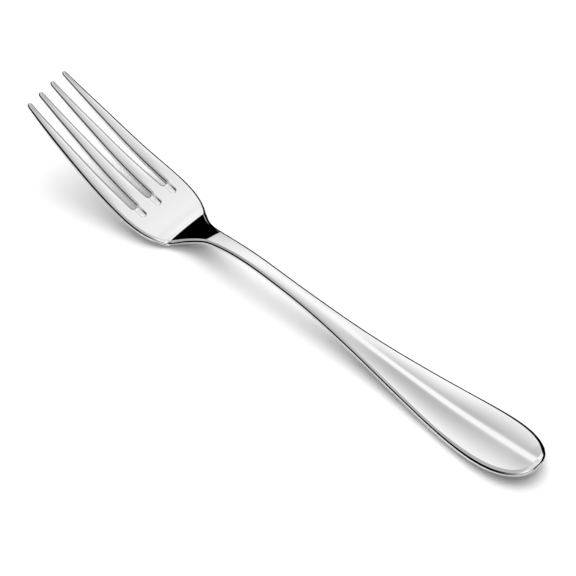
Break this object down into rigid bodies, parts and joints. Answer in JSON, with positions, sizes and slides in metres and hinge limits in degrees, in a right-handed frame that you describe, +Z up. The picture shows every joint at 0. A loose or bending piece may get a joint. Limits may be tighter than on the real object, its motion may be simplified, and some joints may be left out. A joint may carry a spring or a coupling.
{
  "type": "dinner fork",
  "caption": "Polished steel table fork: tapered curved tines, smooth shoulders, arched stem and a teardrop handle with a rounded ridge between two shallow flutes",
  "frame": {"origin": "middle of the fork's outline on the table it lies on", "axes": "+X runs from the tine tips to the handle end, +Y is across the fork, +Z is up, away from the table"},
  "size_m": [0.205, 0.0254, 0.0234],
  "materials": {
    "steel": "mirror-polished stainless steel"
  },
  "bodies": {
    "root": {"tine_1": "steel", "tine_2": "steel", "tine_3": "steel", "tine_4": "steel", "head": "steel", "neck": "steel", "stem": "steel", "handle": "steel"}
  },
  "joints": []
}
